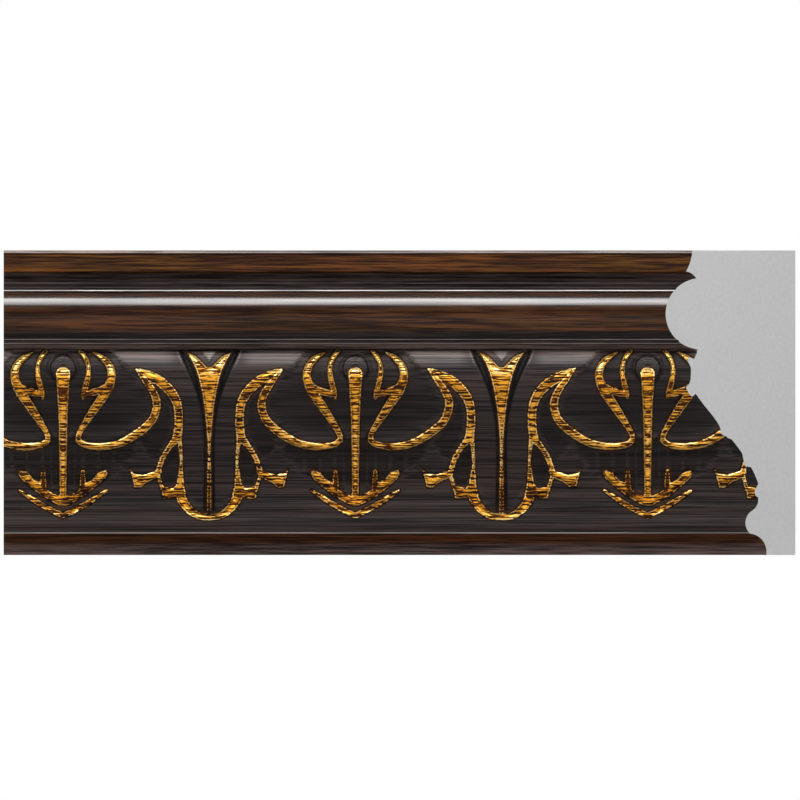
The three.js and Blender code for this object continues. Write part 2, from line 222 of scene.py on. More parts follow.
# Each gilded stroke and outline, with how much of its gold is left: 1 all of it, below 0 traces
GILDED_STROKES = [
    (INNER_CRESCENT, 0.95), (STRUT, 0.75), (OUTER_CRESCENT, 0.95), (BOWL_RIM, 0.95), (SIDE_LEAF, 0.85),
    (FORK_LINE, 0.95), (LINK, 0.85), (PRONG, -0.4), (LOWER_CHEVRON, 0.75),
]
GILDED_OUTLINES = [(RIB, 1.0), (UPPER_CHEVRON, 0.7), (UPPER_FLAME, 0.9), (LOWER_FLAME, 0.75)]
GILDED_DART_STROKES = [(TONGUE_RIM, 0.85), (UPPER_VEIN, -0.1), (LOWER_VEIN, 0.05)]

# The studio, in metres: the floor and where it fades, and the lights' places and sizes
FLOOR_REACH = 1.6
FADE_START, FADE_END = 0.25, 1.1
STRIP_DISTANCE, STRIP_ANGLE = 0.9, math.radians(40)
STRIP_TARGET, STRIP_SIZE = (0, 0, 0.02), (1.4, 0.34)
LEFT_PLACE, RIGHT_PLACE, SIDE_SIZE = (-0.9, -0.55, 0.2), (0.9, -0.55, 0.2), (0.5, 0.5)
BEHIND_PLACE, BEHIND_SIZE = (0.4, 0.9, 0.7), (0.8, 0.8)
MIDDLE = (0, 0, 0)

# The picture: its width and its centre in millimetres, and the camera's distance in metres
PICTURE_WIDTH = 262.7
PICTURE_CENTRE = (0.16, 0.9)
CAMERA_DISTANCE = 1.0

# Sockets of a Mix node set to colours, whose names are shared by its sockets for other types
MIX_SHARE, MIX_FIRST, MIX_SECOND, MIX_RESULT = 0, 6, 7, 2


class MouldingCarving(bpy.types.PropertyGroup):
    """Sizes of the carved band"""

    pitch: FloatProperty(
        name="Pitch", description="Length from palmette to palmette", default=96 * MM, unit="LENGTH",
    )
    first_palmette: FloatProperty(
        name="First Palmette", description="Its axis, from the square end", default=19.5 * MM, unit="LENGTH",
    )
    ridge_relief: FloatProperty(
        name="Ridge Relief", description="Height of the gilded ridges", default=0.9 * MM, unit="LENGTH",
    )
    hollow_sink: FloatProperty(
        name="Hollow Depth", description="Depth of the hollows", default=1.2 * MM, unit="LENGTH",
    )
    groove_sink: FloatProperty(
        name="Groove Depth", description="Depth of the grooves", default=0.7 * MM, unit="LENGTH",
    )


class MouldingFinish(bpy.types.PropertyGroup):
    """Colours of the finishes"""

    ground: FloatVectorProperty(
        name="Ground", description="Lacquer on the carved band", default=(0.019, 0.0135, 0.0122),
        subtype="COLOR", size=3, min=0, max=1,
    )
    walnut: FloatVectorProperty(
        name="Walnut", description="Lacquer on the rolls", default=(0.024, 0.0082, 0.0032),
        subtype="COLOR", size=3, min=0, max=1,
    )
    chestnut: FloatVectorProperty(
        name="Chestnut", description="Paler streaks on the rolls", default=(0.068, 0.0225, 0.0042),
        subtype="COLOR", size=3, min=0, max=1,
    )
    olive: FloatVectorProperty(
        name="Olive", description="Clouds in the lacquer on the rolls", default=(0.066, 0.034, 0.0045),
        subtype="COLOR", size=3, min=0, max=1,
    )
    # The gilding's painted highlight colour, used on its rims and tops
    highlight_gold: FloatVectorProperty(
        name="Bright Gold", description="Gilding at the rims and on the rubbed tops",
        default=(1.0, 0.76, 0.33), subtype="COLOR", size=3, min=0, max=1,
    )
    rich_gold: FloatVectorProperty(
        name="Rich Gold", description="Gilding in the streaks it was wiped into", default=(1.0, 0.47, 0.05),
        subtype="COLOR", size=3, min=0, max=1,
    )
    gold: FloatVectorProperty(
        name="Gold", description="Gilding on the ridges", default=(0.45, 0.17, 0.01),
        subtype="COLOR", size=3, min=0, max=1,
    )
    old_gold: FloatVectorProperty(
        name="Old Gold", description="Gilding where it is thin", default=(0.07, 0.018, 0.0012),
        subtype="COLOR", size=3, min=0, max=1,
    )
    core: FloatVectorProperty(
        name="Core", description="Bare core at the cuts and the back", default=(0.43, 0.43, 0.43),
        subtype="COLOR", size=3, min=0, max=1,
    )


class MouldingStudio(bpy.types.PropertyGroup):
    """Light of the studio"""

    strip_power: FloatProperty(name="Strip", description="Power of the strip light", default=11.5, min=0)
    side_power: FloatProperty(name="Sides", description="Power of each side light", default=2.0, min=0)
    sky: FloatProperty(name="Sky", description="Strength of the light all round", default=0.08, min=0)


def arc(start, end, rise, steps):
    """Points after start up to end on the arc that rises off its chord, outwards if positive."""
    start, end = np.array(start, float), np.array(end, float)
    chord = end - start
    half = np.hypot(*chord) / 2
    radius = (half ** 2 + rise ** 2) / (2 * abs(rise))
    outward = np.array([chord[1], -chord[0]]) / (2 * half)
    side = math.copysign(1, rise)
    centre = (start + end) / 2 + outward * (rise - side * radius)
    turn = 2 * math.atan2(half, radius - abs(rise)) * side
    angles = turn * np.arange(1, steps + 1)[:, None] / steps
    offset = start - centre
    turned = np.hstack([
        offset[0] * np.cos(angles) - offset[1] * np.sin(angles),
        offset[0] * np.sin(angles) + offset[1] * np.cos(angles),
    ])
    return centre + turned


def foot_outline():
    """The section from the bottom of the back to just below the bead."""
    cove = arc(LIP, FOOT_QUIRK, -FOOT_COVE_SINK, steps=16)[:-1]
    return np.vstack([[(0, 0), (LIP[0], 0), LIP], cove])


def band_outline():
    """The section of the carved band in many short steps, from the foot quirk to the notch."""
    rise = BEAD_DEPTH - (FOOT_QUIRK[0] + BEAD_TOP[0]) / 2
    bead = arc(FOOT_QUIRK, BEAD_TOP, rise, steps=40)
    cove = arc(BEAD_TOP, CYMA_FOOT, -BEAD_COVE_SINK, steps=20)
    t = np.linspace(0, 1, CYMA_POINTS)[1:, None]
    reach = [
        np.array(CYMA_FOOT), np.array([CYMA_FOOT[0], CYMA_FOOT[1] + CYMA_FOOT_REACH]),
        np.array([OVOLO_CREST[0], OVOLO_CREST[1] - CYMA_HEAD_REACH]), np.array(OVOLO_CREST),
    ]
    s = 1 - t
    cyma = s ** 3 * reach[0] + 3 * s * s * t * reach[1] + 3 * s * t * t * reach[2] + t ** 3 * reach[3]
    turn = np.linspace(0, math.pi / 2, OVOLO_POINTS)[1:, None]
    span = np.array([OVOLO_CREST[0] - BAND_TOP[0], BAND_TOP[1] - OVOLO_CREST[1]])
    corner = np.array([BAND_TOP[0], OVOLO_CREST[1]])
    ovolo = corner + span * np.hstack([np.cos(turn), np.sin(turn)])
    return np.vstack([[FOOT_QUIRK], bead, cove, cyma, ovolo])


def head_outline():
    """The section from the torus up over the top to the back."""
    rise = TORUS_DEPTH - (BAND_TOP[0] + TORUS_TOP[0]) / 2
    torus = arc(BAND_TOP, TORUS_TOP, rise, steps=90)
    sink = np.zeros(len(torus))
    for quirk in (LOWER_QUIRK, UPPER_QUIRK):
        sink += QUIRK_SINK * np.clip(1 - np.abs(torus[:, 1] - quirk) / (QUIRK_WIDTH / 2), 0, 1)
    torus[:, 0] -= sink
    cove = arc(TORUS_TOP, ARRIS, -TOP_COVE_SINK, steps=8)
    cornice = arc(ARRIS, TOP_EDGE, -CORNICE_SINK, steps=10)
    return np.vstack([torus, cove, cornice, [(0, FACE_HEIGHT)]])


def resample(points, count):
    """The same line with points at even distances."""
    walked = np.concatenate([[0], np.cumsum(np.hypot(*np.diff(points, axis=0).T))])
    even = np.linspace(0, walked[-1], count)
    return np.column_stack([np.interp(even, walked, points[:, i]) for i in range(2)])


def smooth(corners, per_span=6):
    """A smooth line through a few corners."""
    corners = np.array(corners, float)
    padded = np.vstack([2 * corners[0] - corners[1], corners, 2 * corners[-1] - corners[-2]])
    points = []
    for i in range(len(corners) - 1):
        a, b, c, d = padded[i:i + 4]
        bend = 2 * a - 5 * b + 4 * c - d
        twist = 3 * b - a - 3 * c + d
        for t in np.arange(per_span) / per_span:
            points.append(0.5 * (2 * b + (c - a) * t + bend * t * t + twist * t ** 3))
    points.append(corners[-1])
    return np.array(points)


def distance_to_line(across, height, line):
    """Distance from each place to a line, less the line's half width where it has one."""
    best = np.full(across.shape, FAR)
    for start, end in zip(line[:-1], line[1:]):
        step = end[:2] - start[:2]
        length = max(step @ step, 1e-9)
        t = np.clip(((across - start[0]) * step[0] + (height - start[1]) * step[1]) / length, 0, 1)
        away = np.hypot(across - start[0] - t * step[0], height - start[1] - t * step[1])
        if len(start) > 2:
            away = away - (start[2] + (end[2] - start[2]) * t) / 2
        best = np.minimum(best, away)
    return best


def distance_to_shape(across, height, outline):
    """Distance from each place to the edge of a closed shape, negative inside it."""
    closed = np.vstack([outline, outline[:1]])
    inside = np.zeros(across.shape, bool)
    for (x0, y0), (x1, y1) in zip(closed[:-1, :2], closed[1:, :2]):
        crosses = (y0 > height) != (y1 > height)
        with np.errstate(divide="ignore", invalid="ignore"):
            inside ^= crosses & (across < (x1 - x0) * (height - y0) / (y1 - y0) + x0)
    away = distance_to_line(across, height, closed[:, :2])
    return np.where(inside, -away, away)


def ease(value, low, high):
    """0 below low, 1 above high and a smooth rise between."""
    t = np.clip((value - low) / (high - low), 0, 1)
    return t * t * (3 - 2 * t)


def dart_outline():
    """One half of the dart, from the middle of its head round the tip of its horn to its point."""
    return np.vstack([smooth(DART_HEAD), smooth(DART_SIDE)[1:]])


def palmette_outline():
    """The sunk ground of one half of the palmette, out to the rim of the bowl."""
    rim = smooth(np.array(BOWL_RIM)[::-1, :2])
    return np.vstack([np.array(LEAF_EDGE), rim])


def gilded_shapes(across, height):
    """Distance from each place to every gilded shape, with how much gold the shape has."""
    from_dart = FIELD_WIDTH - across
    shapes = []
    for line, left in GILDED_STROKES:
        shapes.append((distance_to_line(across, height, smooth(line)), left))
    for outline, left in GILDED_OUTLINES:
        shapes.append((distance_to_shape(across, height, np.array(outline)), left))
    for line, left in GILDED_DART_STROKES:
        shapes.append((distance_to_line(from_dart, height, smooth(line)), left))
    shapes.append((distance_to_shape(from_dart, height, dart_outline()), 1.0))
    return shapes


def hood_arcs(across, height):
    """Distance outside the hood behind the rib's head, and the arcs raised inside it."""
    from_hood = np.hypot(across, height - HOOD_HEIGHT) - HOOD_RADIUS
    arcs = np.sin(np.clip(-from_hood / ARC_STEP, 0, ARC_COUNT) * math.pi) ** 2
    return from_hood, arcs


def sunk_ground(across, height, hollow):
    """The hollows, dished towards the rims and sheer against the other ridges."""
    ground = distance_to_shape(across, height, palmette_outline())
    from_rim = np.maximum(distance_to_line(across, height, smooth(BOWL_RIM)), 0)
    dished = ease(-ground, 0, BOWL_DISH) * (1 - np.exp(-from_rim / BOWL_DISH))
    relief = -BOWL_SINK * hollow * dished
    for outline, dish in ((SIDE_HOLLOW, SIDE_DISH), (FORK_HOLLOW, FORK_DISH)):
        away = distance_to_shape(across, height, np.array(outline, float))
        relief = np.minimum(relief, -SIDE_SINK * hollow * ease(-away, 0, dish))

    # The ground under the smile, which runs out downwards, with the folds that hang over it
    smile = distance_to_shape(across, height, np.array(UNDER_SMILE, float))
    under = ease(-smile, 0, SMILE_DISH) * ease(height, 4, 17) * ease(ground, -0.2, 0.3)
    relief = np.minimum(relief, -hollow * under)
    for fold in FOLDS:
        away = distance_to_line(across, height, np.array(fold, float))
        relief += FOLD_HEIGHT * ease(-away, -0.4, 0.5)

    # The floor of the tongue, which runs out upwards
    floor = distance_to_shape(FIELD_WIDTH - across, height, np.array(TONGUE_FLOOR, float))
    tongue = ease(-floor, 0, TONGUE_DISH) * ease(15 - height, 0, 6)
    relief = np.minimum(relief, -TONGUE_SINK * hollow * tongue)

    # The hood behind the rib's head, with its arcs, in a moat of its own
    from_hood, arcs = hood_arcs(across, height)
    moat = ease(from_hood, -0.1, 0.3) * ease(MOAT_WIDTH - from_hood, 0, 0.8)
    crown = ease(-from_hood, -0.1, 1.6)
    relief *= ease(from_hood, -0.15, 0.25)
    return relief - MOAT_SINK * moat + HOOD_CROWN * crown + ARC_HEIGHT * arcs


def painted_sheen_and_shade(across, height, valley, facet):
    """How strong the painted sheen and the painted shade are, by the distances to the dart's groove and
    facet.
    """
    from_dart = FIELD_WIDTH - across
    # Painted highlights on the facet and the groove's lips, and painted shade in the groove
    lip = ease(0.3 - np.abs(valley - 0.5), 0, 0.25) * ease(height, 50.5, 54)
    painted_highlight = np.maximum(FACET_SHEEN * ease(-facet, -0.1, 0.6), LIP_SHEEN * lip)
    painted_recess_shade = GROOVE_SHADE * ease(-valley, -0.3, 0.3)

    # A painted sheen on the leaves under the torus, between the palmette and the dart
    leaf = ease(height, 50.5, 54.5) * ease(across, 13, 22) * ease(from_dart, 9.5, 15)
    painted_highlight += LEAF_SHEEN * leaf

    # Painted highlights on the tops of the hood's arcs, over painted shade in the rest of it
    from_hood, arcs = hood_arcs(across, height)
    arcs = arcs ** 2 * ease(height - HOOD_HEIGHT, -2, 2.5)
    painted_highlight += ARC_SHEEN * arcs
    painted_recess_shade = np.maximum(painted_recess_shade, HOOD_SHADE * ease(-from_hood, -0.3, 0.2) * (1 - arcs))

    # A painted sheen on the floor of the bowl, along the inside of its rim
    from_rim = distance_to_line(across, height, smooth(BOWL_RIM))
    in_bowl = distance_to_shape(across, height, palmette_outline()) < 0
    floor = ease(from_rim, 0.6, 2) * ease(-from_rim, -7, -2.5) * ease(-height, -36, -31)
    painted_highlight += BOWL_SHEEN * in_bowl * floor
    return painted_highlight, painted_recess_shade


def carve(across, height, carving):
    """What the mesh and the finish need to know at each place: the relief, the gold, and the painted sheen
    and shade.
    """
    ridge = carving.ridge_relief / MM
    groove = carving.groove_sink / MM
    from_dart = FIELD_WIDTH - across
    relief = sunk_ground(across, height, carving.hollow_sink / MM)

    # The V groove round the dart and beside its vein, and the facet between the dart's horns
    valley = distance_to_line(from_dart, height, smooth(DART_GROOVE))
    relief -= GROOVE_SLOPE * groove * np.clip(0.1 - valley, 0, 1)
    facet = distance_to_shape(from_dart, height, np.array(FACET, float))
    relief += np.clip(0.1 - facet, 0, FACET_HEIGHT)

    # Ridges with a bevelled edge and a low crown
    edge = np.full(across.shape, FAR)
    amount = np.zeros(across.shape)
    for away, left in gilded_shapes(across, height):
        bevel = np.clip(-away / BEVEL_WIDTH, 0, 1)
        crown = np.sin(np.clip(-away / CROWN_WIDTH, 0, 1) * math.pi / 2)
        proud = ridge * (BEVEL_SHARE * bevel + (1 - BEVEL_SHARE) * crown)
        raised = (np.maximum(proud, relief) - relief) * ease(-away, -RIDGE_FOOT, RIDGE_FOOT)
        relief = np.where(away < RIDGE_FOOT, relief + raised, relief)
        amount = np.where(away < edge, left, amount)
        edge = np.minimum(edge, away)
    painted_highlight, painted_recess_shade = painted_sheen_and_shade(across, height, valley, facet)
    return {
        "gold_edge": edge, "gold_left": amount, "relief": relief, "painted_highlight": painted_highlight, "painted_recess_shade": painted_recess_shade,
    }


def draped_depth(section):
    """How deep the section lies when the cove above the bead is bridged over."""
    bridge = np.interp(
        section[:, 1], [FIELD_FOOT, CYMA_FOOT[1], CYMA_FOOT[1] + 1], [BEAD_DEPTH, CYMA_FOOT[0], 0],
        left=0, right=0,
    )
    return np.maximum(section[:, 0], bridge)


def band_mesh(carving):
    """Places of the band's vertices as rows of columns, with what the finish needs to know there."""
    section = resample(band_outline(), BAND_ROWS)
    columns = int(round(LENGTH / COLUMN_STEP)) + 1
    along = np.linspace(0, LENGTH, columns)
    pitch = carving.pitch / MM
    folded = np.abs((along - carving.first_palmette / MM + pitch / 2) % pitch - pitch / 2)
    across, height = np.meshgrid(folded / (pitch / 2) * FIELD_WIDTH, section[:, 1] - FIELD_FOOT)
    layers = carve(across, height, carving)

    # The carving runs out under the torus and down the bead, and its ridges bridge the cove
    top = BAND_TOP[1] - FIELD_FOOT
    layers["relief"] *= ease(top - height, 0, 0.8) * ease(height, -5, 0.5)
    draped = ease(-layers["gold_edge"], -0.6, 0.2)
    bridged = (draped_depth(section) - section[:, 0])[:, None] * draped
    depth = section[:, 0][:, None] + bridged + layers["relief"]
    places = np.stack([
        np.broadcast_to(along - LENGTH / 2, depth.shape), -depth,
        np.broadcast_to((section[:, 1] - FACE_HEIGHT / 2)[:, None], depth.shape),
    ], axis=-1)
    return places * MM, layers


def rail(outline, along):
    """The outline's points at one place along the length, in metres."""
    return np.column_stack([
        np.full(len(outline), along), -outline[:, 0] * MM, (outline[:, 1] - FACE_HEIGHT / 2) * MM,
    ])


def moulding_mesh(carving):
    """The whole moulding as one closed mesh, square at the left and mitred at the right."""
    places, layers = band_mesh(carving)
    rows, columns = places.shape[:2]
    half = LENGTH / 2 * MM
    foot, head = foot_outline(), head_outline()
    parts = [places.reshape(-1, 3)]
    for outline in (foot, head):
        parts += [rail(outline, -half), rail(outline, half)]
    verts = np.vstack(parts)
    index = np.arange(rows * columns).reshape(rows, columns)
    quads = np.stack([index[:-1, :-1], index[:-1, 1:], index[1:, 1:], index[1:, :-1]], axis=-1)
    faces = quads.reshape(-1, 4).tolist()
    foot_left = rows * columns
    foot_right = foot_left + len(foot)
    head_left = foot_right + len(foot)
    head_right = head_left + len(head)
    for i in range(len(foot) - 1):
        faces.append([foot_left + i, foot_right + i, foot_right + i + 1, foot_left + i + 1])
    for i in range(len(head) - 1):
        faces.append([head_left + i, head_right + i, head_right + i + 1, head_left + i + 1])
    faces.append([foot_left + len(foot) - 1, foot_right + len(foot) - 1, *index[0, ::-1].tolist()])
    faces.append([*index[-1].tolist(), head_right, head_left])
    faces.append([head_left + len(head) - 1, head_right + len(head) - 1, foot_right, foot_left])

    mesh = bpy.data.meshes.new("carved_moulding")
    mesh.from_pydata(verts.tolist(), [], faces)
    plain = len(verts) - rows * columns
    for name, values in layers.items():
        layer = mesh.attributes.new(name, "FLOAT", "POINT")
        layer.data.foreach_set("value", np.concatenate([values.ravel(), np.zeros(plain)]))
    cut_ends(mesh)
    return mesh


def cut_ends(mesh):
    """Cuts the mitre, closes both ends, and gives the band, the rolls and the cuts their materials."""
    bm = bmesh.new()
    bm.from_mesh(mesh)
    right = Vector((LENGTH / 2 * MM, 0, 0))
    outward = Vector((1, -1, 0)).normalized()
    everything = bm.verts[:] + bm.edges[:] + bm.faces[:]
    bmesh.ops.bisect_plane(
        bm, geom=everything, dist=NEAR / 10, plane_co=right, plane_no=outward, clear_outer=True,
    )
    open_edges = [edge for edge in bm.edges if edge.is_boundary]
    bmesh.ops.edgeloop_fill(bm, edges=open_edges)
    bmesh.ops.recalc_face_normals(bm, faces=bm.faces[:])
    for face in bm.faces:
        middle = face.calc_center_median()
        on_mitre = abs((middle - right).dot(outward)) < NEAR
        cut = on_mitre or middle.x < NEAR - LENGTH / 2 * MM or middle.y > -NEAR
        face.smooth = not cut
        height = middle.z / MM + FACE_HEIGHT / 2
        on_band = FOOT_QUIRK[1] < height < BAND_TOP[1]
        if cut:
            face.material_index = CORE_MATERIAL
        else:
            face.material_index = BAND_MATERIAL if on_band else ROLLS_MATERIAL
    for edge in bm.edges:
        edge.smooth = all(face.smooth for face in edge.link_faces) and edge.calc_face_angle(0) < SHARP_ANGLE
    bm.to_mesh(mesh)
    bm.free()


class Nodes:
    """Adds nodes to a tree and links them in one call each."""

    def __init__(self, tree):
        self.tree = tree

    def put(self, kind, inputs=None, **settings):
        made = self.tree.nodes.new(kind)
        for name, value in settings.items():
            setattr(made, name, value)
        for key, value in (inputs or {}).items():
            self.feed(made.inputs[key], value)
        return made

    def feed(self, socket, value):
        if isinstance(value, bpy.types.NodeSocket):
            self.tree.links.new(value, socket)
        else:
            socket.default_value = value

    def math(self, operation, first, second=0.0, third=0.0):
        made = self.put("ShaderNodeMath", {0: first, 1: second, 2: third}, operation=operation)
        return made.outputs[0]

    def ramp(self, value, low, high, out_low=0.0, out_high=1.0):
        made = self.put(
            "ShaderNodeMapRange",
            {"Value": value, "From Min": low, "From Max": high, "To Min": out_low, "To Max": out_high},
            interpolation_type="SMOOTHSTEP",
        )
        return made.outputs["Result"]

    def mix(self, share, first, second):
        inputs = {MIX_SHARE: share, MIX_FIRST: first, MIX_SECOND: second}
        return self.put("ShaderNodeMix", inputs, data_type="RGBA").outputs[MIX_RESULT]

    def tint(self, tone, strength):
        made = self.put("ShaderNodeVectorMath", {0: tone, "Scale": strength}, operation="SCALE")
        return made.outputs[0]

    def bump(self, height, strength, depth):
        inputs = {"Strength": strength, "Distance": depth, "Height": height}
        return self.put("ShaderNodeBump", inputs).outputs["Normal"]

    def attribute(self, name):
        return self.put("ShaderNodeAttribute", attribute_name=name).outputs["Fac"]

    def place(self):
        """The place on the piece, in metres from the middle of its back."""
        return self.put("ShaderNodeTexCoord").outputs["Object"]

    def height(self):
        """The height on the piece, in metres above the middle of its back."""
        return self.put("ShaderNodeSeparateXYZ", {0: self.place()}).outputs["Z"]

    def streaks(self, group, along, across):
        """The streaks of the group at one scale, in streaks per metre along and across."""
        scale = {"Per Metre Along": along, "Per Metre Across": across}
        return self.put("ShaderNodeGroup", scale, node_tree=group).outputs["Streak"]


def new_group(name, inputs, outputs):
    """An empty shader node group with float inputs and outputs, and its helper."""
    group = bpy.data.node_groups.new(name, "ShaderNodeTree")
    for label, default in inputs.items():
        socket = group.interface.new_socket(label, in_out="INPUT", socket_type="NodeSocketFloat")
        socket.default_value = default
    for label in outputs:
        group.interface.new_socket(label, in_out="OUTPUT", socket_type="NodeSocketFloat")
    return group, Nodes(group)


def streak_group():
    """Fine streaks that run along the length, as a wiped or brushed finish leaves them."""
    inputs = {"Per Metre Along": 12.0, "Per Metre Across": 900.0, "Detail": 3.0}
    group, nodes = new_group("Lengthwise Streaks", inputs, ["Streak"])
    start = nodes.put("NodeGroupInput")
    end = nodes.put("NodeGroupOutput")
    across = start.outputs["Per Metre Across"]
    split = nodes.put("ShaderNodeSeparateXYZ", {0: nodes.place()})
    along = nodes.math("MULTIPLY", split.outputs["X"], start.outputs["Per Metre Along"])
    deep = nodes.math("MULTIPLY", split.outputs["Y"], nodes.math("MULTIPLY", across, 0.4))
    up = nodes.math("MULTIPLY", split.outputs["Z"], across)
    stretched = nodes.put("ShaderNodeCombineXYZ", {"X": along, "Y": deep, "Z": up}).outputs[0]
    settings = {"Vector": stretched, "Scale": 1.0, "Detail": start.outputs["Detail"]}
    noise = nodes.put("ShaderNodeTexNoise", settings).outputs["Fac"]
    nodes.feed(end.inputs["Streak"], nodes.ramp(noise, 0.3, 0.7))
    return group


def line_group():
    """A thin line along the length at one height, for a painted highlight on an arris or the painted shadow
    below it.
    """
    group, nodes = new_group("Lengthwise Line", {"Height": 0.0, "Half Width": 0.0002}, ["Line"])
    start = nodes.put("NodeGroupInput")
    end = nodes.put("NodeGroupOutput")
    away = nodes.math("ABSOLUTE", nodes.math("SUBTRACT", nodes.height(), start.outputs["Height"]))
    share = nodes.math("DIVIDE", away, start.outputs["Half Width"])
    nodes.feed(end.inputs["Line"], nodes.ramp(share, 1.5, 0.5))
    return group


def gilding_group(streaks):
    """Where the gilding is left, and how bright it is there, with highlights painted on its rims and by
    height.
    """
    inputs = {"Edge": 1.0, "Left": 1.0, "Painted Highlight": 0.0}
    group, nodes = new_group("Wiped Gilding", inputs, ["Cover", "Tone"])
    start = nodes.put("NodeGroupInput")
    end = nodes.put("NodeGroupOutput")
    edge = start.outputs["Edge"]
    hatch = nodes.streaks(streaks, 150.0, 1900.0)
    fine = nodes.streaks(streaks, 500.0, 2800.0)
    mottle = nodes.math("ADD", nodes.math("MULTIPLY", hatch, 0.75), nodes.math("MULTIPLY", fine, 0.25))
    mottle = nodes.ramp(mottle, 0.34, 0.66)

    # The gold's ragged edge, and where it is worn through
    ragged = nodes.math("ADD", edge, nodes.math("MULTIPLY", nodes.math("SUBTRACT", fine, 0.5), 0.25))
    inside = nodes.ramp(ragged, 0.07, -0.1)
    worn = nodes.math("MULTIPLY", nodes.math("SUBTRACT", 1.0, start.outputs["Left"]), 0.62)
    kept = nodes.ramp(nodes.math("SUBTRACT", mottle, worn), -0.08, 0.06)
    nodes.feed(end.inputs["Cover"], nodes.math("MULTIPLY", inside, kept))

    # A painted highlight along the rim, with a darker line inside it
    glint = nodes.math("MULTIPLY_ADD", fine, 0.8, 0.25)
    rim = nodes.math("MULTIPLY", nodes.ramp(edge, -0.42, -0.24), glint)
    inner = nodes.math("MULTIPLY", nodes.ramp(edge, -0.85, -0.6), nodes.ramp(edge, -0.4, -0.55))
    body = nodes.math("MULTIPLY_ADD", mottle, 1.05, -0.48)
    tone = nodes.math("ADD", body, nodes.math("ADD", rim, start.outputs["Painted Highlight"]))
    tone = nodes.math("SUBTRACT", tone, nodes.math("MULTIPLY", inner, 0.2))
    tone = nodes.math("SUBTRACT", tone, nodes.math("MULTIPLY", worn, 0.7))
    nodes.feed(end.inputs["Tone"], nodes.math("MINIMUM", nodes.math("MAXIMUM", tone, 0.0), 1.0))
    return group


def new_material(name):
    """An empty material, its helper and its Principled shader."""
    material = bpy.data.materials.new(name)
    material.use_nodes = True
    material.node_tree.nodes.clear()
    nodes = Nodes(material.node_tree)
    shader = nodes.put("ShaderNodeBsdfPrincipled")
    nodes.put("ShaderNodeOutputMaterial", {"Surface": shader.outputs[0]})
    return material, nodes, shader


def colour(values, strength=1.0):
    """A finish's colour, made stronger or weaker, as a node's socket takes it."""
    return (*(strength * value for value in values), 1.0)


def grey(value):
    """A grey as a node's socket takes it."""
    return colour((value, value, value))


def tones_by_height(nodes, stops):
    """A colour for each height of the section, from stops in millimetres above the bottom edge."""
    share = nodes.math("ADD", nodes.math("MULTIPLY", nodes.height(), 1 / (FACE_HEIGHT * MM)), 0.5)
    ramp = nodes.put("ShaderNodeValToRGB", {"Fac": share})
    ramp.color_ramp.elements.remove(ramp.color_ramp.elements[1])
    ramp.color_ramp.elements[0].position = 0
    ramp.color_ramp.elements[0].color = stops[0][1]
    for height_up, tone in stops[1:]:
        ramp.color_ramp.elements.new(height_up / FACE_HEIGHT).color = tone
    return ramp.outputs["Color"]


def painted_arris_lines(nodes, lacquer, rows, lines, fine):
    """Highlight lines painted on the lacquer along the arrises, each with a painted shadow line below it."""
    painted_highlight, painted_shadow = 0.0, 0.0
    for height, half_width, strength in rows:
        place_up = (height - FACE_HEIGHT / 2) * MM
        arris = {"Height": place_up, "Half Width": half_width * MM}
        line = nodes.put("ShaderNodeGroup", arris, node_tree=lines).outputs["Line"]
        painted_highlight = nodes.math("ADD", painted_highlight, nodes.math("MULTIPLY", line, strength))
        below = {"Height": place_up - 2.2 * half_width * MM, "Half Width": 1.3 * half_width * MM}
        line = nodes.put("ShaderNodeGroup", below, node_tree=lines).outputs["Line"]
        painted_shadow = nodes.math("ADD", painted_shadow, nodes.math("MULTIPLY", line, strength))
    lacquer = nodes.tint(lacquer, nodes.ramp(painted_shadow, 0.0, 0.6, 1.0, 0.08))
    broken = nodes.math("MULTIPLY", painted_highlight, nodes.ramp(fine, 0.0, 0.6, 0.5, 1.0))
    return nodes.mix(broken, lacquer, PAINTED_HIGHLIGHT_TONE)


